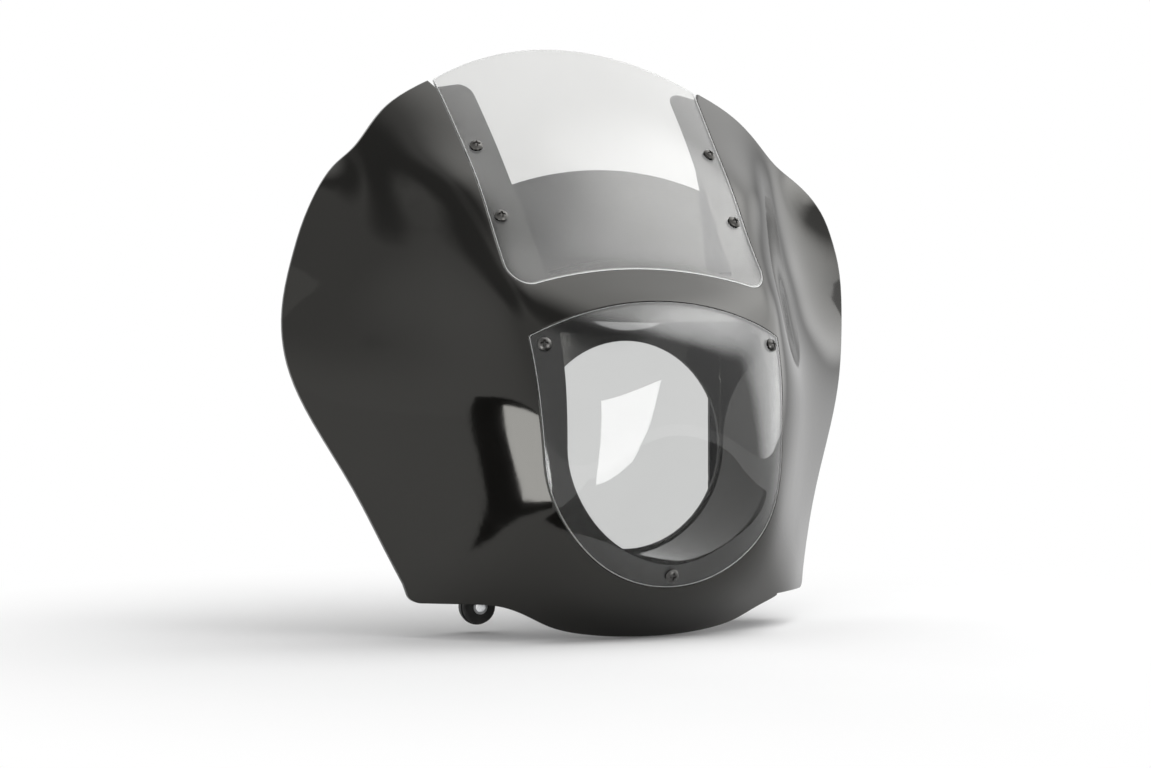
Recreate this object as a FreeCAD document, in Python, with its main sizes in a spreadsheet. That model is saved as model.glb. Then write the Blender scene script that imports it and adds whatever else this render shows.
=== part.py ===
import FreeCAD, Part
import math
import os
import Sketcher
from FreeCAD import Placement, Rotation, Vector

# Half fairing with a clear windscreen and a clear headlight cover.
# Frame: origin at the centre of the headlight hole, on the front face of the wall it is cut in.
# +X is the viewer's right, +Y points to the rear, +Z is up, and the nose points along -Y.

doc = FreeCAD.newDocument("HalfFairing")

# Driving sizes in millimetres
SIZES = [
    ("fairing_width", 524.6),
    ("nose_reach", 92),
    ("wall_thick", 3),
    ("glazing_thick", 3),
    ("fit_gap", 0.6),
    ("seat_gap", 0.05),
    ("hole_dia", 170),
    ("tunnel_lip", 2),
    ("tunnel_top", 93),
    ("tunnel_dip", 3.5),
    ("tunnel_corner", 14),
    ("lens_margin", 20),
    ("lens_drop", 5),
    ("lens_corner_side", 111),
    ("lens_corner_height", 88),
    ("lens_crown_height", 115.5),
    ("lens_corner", 3),
    ("screen_foot_side", 116.5),
    ("screen_waist_side", 117),
    ("screen_top_side", 123),
    ("screen_foot_height", 123.5),
    ("screen_sill_height", 142.5),
    ("screen_top_height", 304),
    ("screen_crown_height", 337),
    ("screen_foot_corner", 16),
    ("screen_top_corner", 4),
    ("strip_foot_side", 84),
    ("strip_top_side", 94),
    ("strip_top_height", 301),
    ("strip_corner", 10),
    ("window_sill_height", 210.5),
    ("window_crown_height", 226),
    ("pocket_depth", 16),
    ("pocket_top_depth", 1),
    ("pocket_rise", 7),
    ("pocket_foot_lift", 5),
    ("pocket_corner", 4),
    ("screw_dia", 5),
    ("screw_hole_dia", 5.6),
    ("screw_long", 14),
    ("screw_head_dia", 11),
    ("screw_head_high", 3),
    ("screw_head_bevel", 2),
    ("screw_slot_wide", 1.4),
    ("screw_slot_long", 5.6),
    ("screw_slot_deep", 1.6),
    ("washer_dia", 12),
    ("washer_thick", 1),
    ("spot_face_deep", 0.3),
    ("nut_flats", 8),
    ("nut_high", 4),
    ("fork_half_span", 112),
    ("upper_mount_height", 95),
    ("lower_mount_drop", 132),
    ("bracket_thick", 3),
    ("bracket_face", 48),
    ("bracket_wide", 20),
    ("bracket_eye_dia", 30),
    ("arm_wide", 20),
    ("upper_boss_share", 0.7),
    ("upper_boss_height", 70),
    ("lower_boss_share", 0.65),
    ("lower_boss_drop", 60),
    ("lower_joggle", 12),
    ("joggle_start", 130),
    ("joggle_run", 14),
    ("boss_dia", 16),
    ("insert_dia", 8),
    ("insert_long", 8),
    ("bolt_dia", 6),
    ("bolt_hole_dia", 6.6),
    ("bolt_long", 11),
    ("bolt_flats", 10),
    ("bolt_head_high", 4),
    ("bolt_washer_dia", 16),
    ("bolt_washer_thick", 1.6),
    ("grommet_dia", 28),
    ("grommet_neck_dia", 20),
    ("grommet_long", 14),
    ("grommet_bevel", 2),
    ("sleeve_dia", 12),
    ("sleeve_bore_dia", 8.4),
    ("sleeve_long", 16),
]

sheet = doc.addObject("Spreadsheet::Sheet", "Sizes")
for row, (name, value) in enumerate(SIZES, start=1):
    sheet.set("A%d" % row, name)
    sheet.set("B%d" % row, str(value))
    sheet.setAlias("B%d" % row, name)
doc.recompute()


def size(name):
    return float(sheet.get(name))


# Sections of the moulding, from the chin upwards, each at one height:
# depth on the centre line, depth at the brow, then side and depth
# of the shoulder, of the valley beside it and of the rear rim.
BROW_SIDE = 100
SECTIONS = [
    (-158, -33, -14, 120, -9, 152, 4, 192, 40),
    (-112, -76, -50, 120, -37, 152, -8, 184, 30),
    (-60, -84, -70, 119, -51, 158, -5, 204, 50),
    (0, -92, -74, 119, -57, 163, -6, 231, 70),
    (55, -90, -68.5, 119, -54.5, 163, -3.5, 257, 92),
    (95, -77, -54.5, 119, -43.5, 158, 8, 263, 98),
    (122, -53, -38.5, 119, -31, 159, 19, 261.5, 96),
    (150, -23, -15, 122, -8, 164, 35, 256.5, 92),
    (180, 0, 8.5, 134, 20.5, 173, 57, 246.5, 91),
    (212, 23.5, 32.5, 153, 52, 181, 79, 229.5, 95),
    (242, 47, 56.5, 164, 83, 190, 102, 215, 113),
    (290, 89, 99, 160, 120, 190, 135, 215, 147),
    (350, 148, 158, 160, 179, 190, 194, 215, 206),
]

# The rear rim and the foot of the moulding, from the middle of the chin up the right side
CHIN = [(0, -152.5), (36, -151.4), (59, -148.8), (83, -142.8), (105, -132.4), (126, -125), (146, -123.8)]
RIM = [(183.5, -110), (194.6, -82.7), (215.3, -34.5), (239.4, 13), (258, 61), (262.3, 110), (254, 158.5),
       (233.5, 207.4), (214, 230), (198.3, 243), (184.5, 259.5), (167, 279), (143.5, 295)]

# The tables above are drawn to these two sizes and follow them
DRAWN_WIDTH = 2 * max(x for x, z in RIM)
DRAWN_REACH = -min(section[1] for section in SECTIONS)
WIDTH_SCALE = size("fairing_width") / DRAWN_WIDTH
DEPTH_SCALE = size("nose_reach") / DRAWN_REACH


def natural_spline(xs, ys):
    """A cubic curve through the points, straight beyond its ends."""
    last = len(xs) - 1
    gaps = [xs[i + 1] - xs[i] for i in range(last)]
    slopes = [(ys[i + 1] - ys[i]) / gaps[i] for i in range(last)]
    bends = [0.0] * (last + 1)
    pivots = [0.0] * (last + 1)
    carried = [0.0] * (last + 1)
    for i in range(1, last):
        pivot = 2 * (gaps[i - 1] + gaps[i]) - gaps[i - 1] * pivots[i - 1]
        pivots[i] = gaps[i] / pivot
        carried[i] = (6 * (slopes[i] - slopes[i - 1]) - gaps[i - 1] * carried[i - 1]) / pivot
    for i in range(last - 1, 0, -1):
        bends[i] = carried[i] - pivots[i] * bends[i + 1]

    def value(x):
        if x >= xs[last]:
            end_slope = slopes[-1] + gaps[-1] * bends[last - 1] / 6
            return ys[last] + end_slope * (x - xs[last])
        if x <= xs[0]:
            end_slope = slopes[0] - gaps[0] * bends[1] / 6
            return ys[0] + end_slope * (x - xs[0])
        i = 0
        while xs[i + 1] < x:
            i += 1
        left = xs[i + 1] - x
        right = x - xs[i]
        gap = gaps[i]
        bent = (bends[i] * left ** 3 + bends[i + 1] * right ** 3) / (6 * gap)
        from_left = (ys[i] / gap - bends[i] * gap / 6) * left
        from_right = (ys[i + 1] / gap - bends[i + 1] * gap / 6) * right
        return bent + from_left + from_right

    return value


HEIGHTS = [section[0] for section in SECTIONS]
COLUMNS = [natural_spline(HEIGHTS, [section[i] for section in SECTIONS]) for i in range(1, 9)]


def section_at(height):
    """The skin's outline at one height: depth as a function of the distance to the side."""
    nose, brow, shoulder_x, shoulder_y, valley_x, valley_y, rim_x, rim_y = [c(height) for c in COLUMNS]
    sides = [BROW_SIDE, shoulder_x, valley_x, rim_x]
    depths = [brow, shoulder_y, valley_y, rim_y]
    xs = [-x for x in reversed(sides)] + [0] + sides
    ys = list(reversed(depths)) + [nose] + depths
    return natural_spline([x * WIDTH_SCALE for x in xs], [y * DEPTH_SCALE for y in ys])


SECTION_CACHE = {}


def skin(x, z):
    """Depth of the outer skin at a place in the front view."""
    key = round(z, 6)
    if key not in SECTION_CACHE:
        SECTION_CACHE[key] = section_at(z)
    return SECTION_CACHE[key](x)


def skin_slopes(x, z):
    step = 0.5
    across = (skin(x + step, z) - skin(x - step, z)) / (2 * step)
    upward = (skin(x, z + step) - skin(x, z - step)) / (2 * step)
    return across, upward


def layer(x, z, depth):
    """Depth of a surface that lies under the skin by a distance along its normal."""
    across, upward = skin_slopes(x, z)
    return skin(x, z) + depth * math.sqrt(1 + across ** 2 + upward ** 2)


# Space the skin is drawn over, and the length of tools that pass through everything
SIDE_LIMIT = 290 * WIDTH_SCALE
LOW_LIMIT = -168
HIGH_LIMIT = 352
STEPS_ACROSS = 28
STEPS_UP = 24
FAR = 320


def level(depth):
    """The same depth at every height."""
    return lambda z: depth


def block_under(depth_at):
    """All space behind a surface that lies under the skin by a depth for each height."""
    rows = []
    for i in range(STEPS_UP + 1):
        z = LOW_LIMIT + (HIGH_LIMIT - LOW_LIMIT) * i / STEPS_UP
        row = []
        for j in range(STEPS_ACROSS + 1):
            x = SIDE_LIMIT * (2 * j / STEPS_ACROSS - 1)
            row.append(Vector(x, layer(x, z, depth_at(z)), z))
        rows.append(row)
    surface = Part.BSplineSurface()
    surface.interpolate(rows)
    return surface.toShape().extrude(Vector(0, 2 * FAR, 0))


def front(x, z):
    return Vector(x, -FAR, z)


def line(start, end):
    return Part.LineSegment(front(*start), front(*end)).toShape()


def arc(start, middle, end):
    return Part.Arc(front(*start), front(*middle), front(*end)).toShape()


def curve(points, start_tangent=None, end_tangent=None):
    spline = Part.BSplineCurve()
    places = [front(*p) for p in points]
    if start_tangent:
        spline.interpolate(places, InitialTangent=front(*start_tangent) - front(0, 0),
                           FinalTangent=front(*end_tangent) - front(0, 0))
    else:
        spline.interpolate(places)
    return spline.toShape()


def prism(edges, corners=()):
    """Space inside a front-view outline, with some of its corners rounded."""
    face = Part.Face(Part.Wire(edges))
    solid = face.extrude(Vector(0, 2 * FAR, 0))
    for radius, places in corners:
        picked = []
        for edge in solid.Edges:
            ends = [v.Point for v in edge.Vertexes]
            if len(ends) < 2 or abs(ends[0].y - ends[1].y) < FAR:
                continue
            if any(math.hypot(ends[0].x - x, ends[0].z - z) < 0.01 for x, z in places):
                picked.append(edge)
        solid = solid.makeFillet(radius, picked)
    return solid


def both_sides(x, z):
    return [(x, z), (-x, z)]


# Outlines in the front view
def screen_prism(grow):
    """Outline of the windscreen, made larger all round by one distance."""
    foot = (size("screen_foot_side") + grow, size("screen_foot_height") - grow)
    waist = (size("screen_waist_side") + grow, (size("screen_foot_height") + size("screen_top_height")) / 2)
    top = (size("screen_top_side") + grow, size("screen_top_height") + grow)
    sill = (0, size("screen_sill_height") - grow)
    crown = (0, size("screen_crown_height") + grow)
    mirror = [(-x, z) for x, z in (foot, waist, top)]
    edges = [
        arc(mirror[0], sill, foot),
        arc(foot, waist, top),
        arc(top, crown, mirror[2]),
        arc(mirror[2], mirror[1], mirror[0]),
    ]
    corners = [
        (size("screen_foot_corner") + grow, both_sides(*foot)),
        (size("screen_top_corner"), both_sides(*top)),
    ]
    return prism(edges, corners)


def lens_prism(grow):
    """Outline of the headlight cover: a round foot, flared sides and an arched top."""
    radius = size("hole_dia") / 2 + size("lens_margin") + grow
    middle = -size("lens_drop")
    corner = (size("lens_corner_side") + grow, size("lens_corner_height"))
    crown = (0, size("lens_crown_height") + grow)
    reach = math.hypot(corner[0], corner[1] - middle)
    turn = math.atan2(corner[1] - middle, corner[0]) - math.acos(radius / reach)
    touch = (radius * math.cos(turn), middle + radius * math.sin(turn))
    mirror_corner = (-corner[0], corner[1])
    mirror_touch = (-touch[0], touch[1])
    edges = [
        arc(mirror_touch, (0, middle - radius), touch),
        line(touch, corner),
        arc(corner, crown, mirror_corner),
        line(mirror_corner, mirror_touch),
    ]
    return prism(edges, [(size("lens_corner") + grow, both_sides(*corner))])


def strip_side(z):
    """Side of the windscreen strip's inner edge at one height."""
    run = size("strip_top_height") - size("screen_sill_height")
    part_way = (z - size("screen_sill_height")) / run
    return size("strip_foot_side") + (size("strip_top_side") - size("strip_foot_side")) * part_way


# The strips end in a slanted edge, and the opening flares from there to the top limit
STRIP_END_SLANT = 5
WINDOW_FLARE = 40


def window_prism():
    """The opening behind the windscreen, between the strips and above the panel."""
    sill = size("window_sill_height")
    end = size("strip_top_height")
    right = [
        (strip_side(sill), sill),
        (strip_side(end), end),
        (size("screen_top_side"), end - STRIP_END_SLANT),
        (size("screen_top_side") + WINDOW_FLARE, HIGH_LIMIT),
    ]
    left = [(-x, z) for x, z in reversed(right)]
    around = right + left
    edges = [line(start, end) for start, end in zip(around, around[1:])]
    edges.append(arc(left[-1], (0, size("window_crown_height")), right[0]))
    return prism(edges, [(size("strip_corner"), both_sides(*right[1]))])


def pocket_prism(grow, top):
    """The deeper panel inside the windscreen ledge, up to one height."""
    rise = size("pocket_rise") - grow
    low_height = size("screen_foot_height") + size("pocket_foot_lift") + rise
    low = (strip_side(low_height) + grow, low_height)
    high = (strip_side(top) + grow, top)
    sill = (0, size("screen_sill_height") + rise)
    edges = [
        arc((-low[0], low[1]), sill, low),
        line(low, high),
        line(high, (-high[0], top)),
        line((-high[0], top), (-low[0], low[1])),
    ]
    return prism(edges, [(size("pocket_corner") + grow, both_sides(*low))])


# How the moulding's outline turns at its foot and ends beside the windscreen
FOOT_CORNER = 8
HEEL_IN = 4
HEEL_DOWN = 1
EAR_EDGE_WIDE = 1.5
EAR_EDGE_HIGH = 0.5


def rim_prism():
    """Outline of the whole moulding in the front view."""
    chin = [(x * WIDTH_SCALE, z) for x, z in CHIN]
    rim = [(x * WIDTH_SCALE, z) for x, z in RIM]
    tip = (size("screen_top_side") + EAR_EDGE_WIDE, size("screen_top_height") + EAR_EDGE_HIGH)
    left_chin = [(-x, z) for x, z in reversed(chin)]
    left_rim = [(-x, z) for x, z in reversed(rim)]
    heel = (rim[0][0] - HEEL_IN, chin[-1][1] - HEEL_DOWN)
    edges = [
        curve(left_chin + chin[1:], (1, 0), (1, 0)),
        line(chin[-1], heel),
        line(heel, rim[0]),
        curve(rim + [tip]),
        line(tip, (-tip[0], tip[1])),
        curve([(-tip[0], tip[1])] + left_rim),
        line(left_rim[-1], (-heel[0], heel[1])),
        line((-heel[0], heel[1]), left_chin[0]),
    ]
    return prism(edges, [(FOOT_CORNER, both_sides(*heel))])


# The tunnel from the headlight cover back to the wall with the headlight hole
TUNNEL_FRONT = -125
TUNNEL_FLARE = 0.032
TUNNEL_RISE = 0.12
TUNNEL_DRAW_IN = 1


def tunnel_outline(depth, grow):
    radius = size("hole_dia") / 2 + size("tunnel_lip") - depth * TUNNEL_FLARE + grow
    top = size("tunnel_top") - depth * TUNNEL_RISE + grow
    round_off = size("tunnel_corner") + grow
    side = radius - TUNNEL_DRAW_IN
    diagonal = round_off * math.sqrt(0.5)
    middle = (side - round_off, top - round_off)

    def place(x, z):
        return Vector(x, depth, z)

    def bow(a, b, c):
        return Part.Arc(place(*a), place(*b), place(*c)).toShape()

    def straight(a, b):
        return Part.LineSegment(place(*a), place(*b)).toShape()

    right = [(side, middle[1]), (middle[0] + diagonal, middle[1] + diagonal), (middle[0], top)]
    left = [(-x, z) for x, z in right]
    return Part.Wire([
        bow((-radius, 0), (0, -radius), (radius, 0)),
        straight((radius, 0), right[0]),
        bow(*right),
        bow(right[2], (0, top - size("tunnel_dip")), left[2]),
        bow(left[2], left[1], left[0]),
        straight(left[0], (-radius, 0)),
    ])


def tunnel(back, grow):
    return Part.makeLoft([tunnel_outline(TUNNEL_FRONT, grow), tunnel_outline(back, grow)], True, True)


# Places of the fasteners in the front view
SCREEN_SCREWS = both_sides(108.3, 245) + both_sides(106.4, 185)
LENS_SCREWS = both_sides(101.3, 81.7) + [(0, -101)]
UPPER_BOSS = (size("upper_boss_share") * size("fairing_width") / 2, size("upper_boss_height"))
LOWER_BOSS = (size("lower_boss_share") * size("fairing_width") / 2, -size("lower_boss_drop"))
UPPER_BOSS_TEXT = "Sizes.upper_boss_share * Sizes.fairing_width / 2"
LOWER_BOSS_TEXT = "Sizes.lower_boss_share * Sizes.fairing_width / 2"


def stance(x, z, depth):
    """Placement on the skin: local Z points outwards along the normal, moved inwards by a depth."""
    across, upward = skin_slopes(x, z)
    outward = Vector(across, -1, upward)
    outward.normalize()
    return Placement(Vector(x, skin(x, z), z) - outward * depth, Rotation(Vector(0, 0, 1), outward))


# How far a drill reaches to either side of the skin, and the room that a spot face gives a washer
DRILL_OUT = 12
DRILL_IN = 28
SPOT_FACE_ROOM = 0.5
SPOT_FACE_REACH = 4


def drill(x, z):
    """A hole through glazing and wall, square to the skin."""
    tool = Part.makeCylinder(size("screw_hole_dia") / 2, DRILL_OUT + DRILL_IN, Vector(0, 0, -DRILL_IN))
    tool.Placement = stance(x, z, 0)
    return tool


def spot_face(x, z):
    """Levels the back of the ledge round a screw, so that its washer lies flat."""
    radius = size("washer_dia") / 2 + SPOT_FACE_ROOM
    tool = Part.makeCylinder(radius, SPOT_FACE_REACH, Vector(0, 0, -SPOT_FACE_REACH))
    tool.Placement = stance(x, z, washer_seat)
    return tool


def rearward_cylinder(diameter, x, z, start, end):
    return Part.makeCylinder(diameter / 2, end - start, Vector(x, start, z), Vector(0, 1, 0))


def add_solid(label, shape):
    piece = doc.addObject("Part::Feature", label)
    piece.Label = label
    piece.Shape = shape
    return piece


# The moulded shell
wall = size("wall_thick")
glazing = size("glazing_thick")
fit_gap = size("fit_gap")
seat_gap = size("seat_gap")
washer_seat = glazing + wall - size("spot_face_deep")


def pocket_floor(z):
    """Depth of the panel: deepest at its foot, and rising to the ledge at its arched top edge."""
    run = size("window_crown_height") - size("screen_sill_height")
    share = (size("window_crown_height") - z) / run
    return glazing + size("pocket_top_depth") + (size("pocket_depth") - size("pocket_top_depth")) * share


skin_block = block_under(level(0))
glazing_block = block_under(level(glazing))
wall_block = block_under(level(wall))
ledge_block = block_under(level(glazing + wall))
pocket_block = block_under(pocket_floor)
pocket_back_block = block_under(lambda z: pocket_floor(z) + wall)

screen_recess = screen_prism(fit_gap)
lens_recess = lens_prism(fit_gap)
pocket = pocket_prism(0, size("screen_top_height"))

kept_behind = [
    screen_prism(fit_gap + wall).cut(ledge_block),
    lens_prism(fit_gap + wall).cut(ledge_block),
    pocket_prism(wall, size("window_crown_height") + wall).cut(pocket_back_block),
]
hollow = wall_block.cut(kept_behind)
sunk = [
    screen_recess.cut(glazing_block),
    lens_recess.cut(glazing_block),
    pocket.cut(pocket_block),
]
shell = skin_block.common(rim_prism()).cut([hollow, window_prism()] + sunk)

tunnel_root = block_under(level(glazing + wall / 2))
tunnel_wall = tunnel(wall, wall).common(tunnel_root)
boss_root = block_under(level(wall / 2))
upper_seat = size("bracket_face")
lower_seat = size("bracket_face") - size("lower_joggle")
boss_ends = [(UPPER_BOSS, upper_seat), (LOWER_BOSS, lower_seat)]
insert_hole_width = size("insert_dia") + 2 * seat_gap
insert_hole_deep = size("insert_long") + fit_gap
bosses = []
insert_holes = []
for (x, z), seat in boss_ends:
    for side in (x, -x):
        bosses.append(rearward_cylinder(size("boss_dia"), side, z, -FAR / 2, seat).common(boss_root))
        hole_end = seat - insert_hole_deep
        insert_holes.append(rearward_cylinder(insert_hole_width, side, z, hole_end, seat + wall))
shell = shell.fuse([tunnel_wall] + bosses)
headlight_hole = rearward_cylinder(size("hole_dia"), 0, 0, -wall, 2 * wall)
screw_holes = [drill(x, z) for x, z in SCREEN_SCREWS + LENS_SCREWS]
spot_faces = [spot_face(x, z) for x, z in SCREEN_SCREWS + LENS_SCREWS]
shell = shell.cut([tunnel(0, 0), headlight_hole] + insert_holes + screw_holes + spot_faces)
fairing_shell = add_solid("fairing_shell", shell)

# The clear windscreen and headlight cover, set flush with the skin
clear_sheet = skin_block.cut(glazing_block)
screen_shape = clear_sheet.common(screen_prism(0)).cut([drill(x, z) for x, z in SCREEN_SCREWS])
lens_shape = clear_sheet.common(lens_prism(0)).cut([drill(x, z) for x, z in LENS_SCREWS])
windscreen = add_solid("windscreen", screen_shape)
headlight_lens = add_solid("headlight_lens", lens_shape)


# Fasteners: each is drawn once, on its own axis, and set at every place it is used
def sketch_on(body, role, name, offset):
    """A sketch on one of the body's own planes, moved along that plane's normal."""
    sketch = body.newObject("Sketcher::SketchObject", name)
    plane = [f for f in body.Origin.OriginFeatures if f.Role == role][0]
    sketch.AttachmentSupport = [(plane, "")]
    sketch.MapMode = "FlatFace"
    sketch.setExpression("AttachmentOffset.Base.z", offset)
    return sketch


def draw_circle(sketch, x, y, width, guess):
    """A circle whose centre and width follow expressions; a centre of None lies on the origin."""
    round_line = sketch.addGeometry(Part.Circle(Vector(guess[0], guess[1], 0), Vector(0, 0, 1), guess[2]))
    if x is None:
        sketch.addConstraint(Sketcher.Constraint("Coincident", round_line, 3, -1, 1))
    else:
        drive(sketch, Sketcher.Constraint("DistanceX", -1, 1, round_line, 3, guess[0]), x)
        drive(sketch, Sketcher.Constraint("DistanceY", -1, 1, round_line, 3, guess[1]), y)
    drive(sketch, Sketcher.Constraint("Diameter", round_line, 2 * guess[2]), width)


def drive(sketch, constraint, expression):
    index = sketch.addConstraint(constraint)
    sketch.setExpression("Constraints[%d]" % index, expression)


def draw_loop(sketch, corners):
    """A closed loop of lines whose corners follow expressions: (x, y, x expression, y expression)."""
    count = len(corners)
    lines = []
    for i in range(count):
        start = Vector(corners[i][0], corners[i][1], 0)
        end = Vector(corners[(i + 1) % count][0], corners[(i + 1) % count][1], 0)
        lines.append(sketch.addGeometry(Part.LineSegment(start, end)))
    for i in range(count):
        sketch.addConstraint(Sketcher.Constraint("Coincident", lines[i - 1], 2, lines[i], 1))
    for i, (x, y, x_text, y_text) in enumerate(corners):
        drive(sketch, Sketcher.Constraint("DistanceX", -1, 1, lines[i], 1, x), x_text)
        drive(sketch, Sketcher.Constraint("DistanceY", -1, 1, lines[i], 1, y), y_text)


def pad(body, sketch, length, reverse=False):
    feature = body.newObject("PartDesign::Pad", sketch.Name + "Pad")
    feature.Profile = sketch
    feature.Reversed = reverse
    feature.setExpression("Length", length)
    sketch.Visibility = False
    doc.recompute()
    return feature


def pocket_cut(body, sketch, length):
    feature = body.newObject("PartDesign::Pocket", sketch.Name + "Pocket")
    feature.Profile = sketch
    feature.setExpression("Length", length)
    sketch.Visibility = False
    doc.recompute()
    return feature


def cross_screw():
    """Round-headed screw with a cross recess; the head rests on the local XY plane."""
    body = doc.addObject("PartDesign::Body", "CrossScrew")
    head = sketch_on(body, "XY_Plane", "ScrewHead", "0")
    draw_circle(head, None, None, "Sizes.screw_head_dia", (0, 0, 5))
    head_pad = pad(body, head, "Sizes.screw_head_high")
    bevel = body.newObject("PartDesign::Chamfer", "ScrewHeadBevel")
    top_edge = max(range(len(head_pad.Shape.Edges)), key=lambda i: head_pad.Shape.Edges[i].CenterOfMass.z)
    bevel.Base = (head_pad, ["Edge%d" % (top_edge + 1)])
    bevel.setExpression("Size", "Sizes.screw_head_bevel")
    doc.recompute()
    shank = sketch_on(body, "XY_Plane", "ScrewShank", "0")
    draw_circle(shank, None, None, "Sizes.screw_dia", (0, 0, 2))
    pad(body, shank, "Sizes.screw_long", True)
    half_long = size("screw_slot_long") / 2
    half_wide = size("screw_slot_wide") / 2
    long_text = "Sizes.screw_slot_long / 2"
    wide_text = "Sizes.screw_slot_wide / 2"
    arms = [(half_long, half_wide, long_text, wide_text), (half_wide, half_long, wide_text, long_text)]
    for number, (a, b, a_text, b_text) in enumerate(arms):
        slot = sketch_on(body, "XY_Plane", "ScrewSlot%d" % number, "Sizes.screw_head_high")
        draw_loop(slot, [
            (-a, -b, "-" + a_text, "-" + b_text),
            (a, -b, a_text, "-" + b_text),
            (a, b, a_text, b_text),
            (-a, b, "-" + a_text, b_text),
        ])
        pocket_cut(body, slot, "Sizes.screw_slot_deep")
    return body


def turned(label, diameter, length, bore):
    """A round piece with a bore, standing on the local XY plane."""
    outside = doc.addObject("Part::Cylinder", label + "Outside")
    outside.setExpression("Radius", diameter + " / 2")
    outside.setExpression("Height", length)
    return bored(label, outside, length, bore)


def hexagonal(label, flats, length, bore):
    """A six-sided piece with a bore, standing on the local XY plane."""
    outside = doc.addObject("Part::Prism", label + "Outside")
    outside.Polygon = 6
    outside.setExpression("Circumradius", flats + " / sqrt(3)")
    outside.setExpression("Height", length)
    return bored(label, outside, length, bore)


def bored(label, outside, length, bore):
    inside = doc.addObject("Part::Cylinder", label + "Bore")
    inside.setExpression("Radius", bore + " / 2")
    inside.setExpression("Height", length + " + 2")
    inside.Placement.Base = Vector(0, 0, -1)
    piece = doc.addObject("Part::Cut", label)
    piece.Base = outside
    piece.Tool = inside
    doc.recompute()
    return piece


def hex_bolt():
    """Hexagon bolt; its head stands on the local XY plane and its shank goes down."""
    head = doc.addObject("Part::Prism", "BoltHead")
    head.Polygon = 6
    head.setExpression("Circumradius", "Sizes.bolt_flats / sqrt(3)")
    head.setExpression("Height", "Sizes.bolt_head_high")
    shank = doc.addObject("Part::Cylinder", "BoltShank")
    shank.setExpression("Radius", "Sizes.bolt_dia / 2")
    shank.setExpression("Height", "Sizes.bolt_long")
    shank.setExpression("Placement.Base.z", "-Sizes.bolt_long")
    piece = doc.addObject("Part::Fuse", "HexBolt")
    piece.Base = head
    piece.Tool = shank
    doc.recompute()
    return piece


def rubber_grommet():
    """Rubber grommet: two flanges with a neck between them, centred on the local origin."""
    body = doc.addObject("PartDesign::Body", "RubberGrommet")
    barrel = sketch_on(body, "XY_Plane", "GrommetBarrel", "-Sizes.grommet_long / 2")
    draw_circle(barrel, None, None, "Sizes.grommet_dia", (0, 0, 14))
    barrel_pad = pad(body, barrel, "Sizes.grommet_long")
    rims = [i for i, e in enumerate(barrel_pad.Shape.Edges) if len(e.Vertexes) == 1]
    bevel = body.newObject("PartDesign::Chamfer", "GrommetBevel")
    bevel.Base = (barrel_pad, ["Edge%d" % (i + 1) for i in rims])
    bevel.setExpression("Size", "Sizes.grommet_bevel")
    doc.recompute()
    groove_width = "Sizes.bracket_thick + 2 * Sizes.seat_gap"
    groove = sketch_on(body, "XY_Plane", "GrommetGroove", "(" + groove_width + ") / 2")
    draw_circle(groove, None, None, "Sizes.grommet_neck_dia - 2 * Sizes.seat_gap", (0, 0, 10))
    draw_circle(groove, None, None, "Sizes.grommet_dia + 2", (0, 0, 15))
    pocket_cut(body, groove, groove_width)
    bore = sketch_on(body, "XY_Plane", "GrommetBore", "Sizes.grommet_long / 2")
    draw_circle(bore, None, None, "Sizes.sleeve_dia + 2 * Sizes.seat_gap", (0, 0, 6))
    pocket_cut(body, bore, "Sizes.grommet_long")
    return body


def set_out(label, pattern, placements):
    """One node made of equal pieces, each at its own place."""
    copies = []
    for placement in placements:
        copy = pattern.Shape.copy()
        copy.Placement = placement.multiply(copy.Placement)
        copies.append(copy)
    return add_solid(label, Part.makeCompound(copies))


washer_depth = washer_seat + size("washer_thick")
nut_depth = washer_depth + size("nut_high")

screw = cross_screw()
washer = turned("ScrewWasher", "Sizes.washer_dia", "Sizes.washer_thick", "Sizes.screw_hole_dia")
nut = hexagonal("ScrewNut", "Sizes.nut_flats", "Sizes.nut_high", "(Sizes.screw_dia + 2 * Sizes.seat_gap)")
fasteners = []
for owner, places in (("windscreen", SCREEN_SCREWS), ("lens", LENS_SCREWS)):
    fasteners += [
        set_out(owner + "_screws", screw, [stance(x, z, -seat_gap) for x, z in places]),
        set_out(owner + "_washers", washer, [stance(x, z, washer_depth) for x, z in places]),
        set_out(owner + "_nuts", nut, [stance(x, z, nut_depth) for x, z in places]),
    ]


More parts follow.
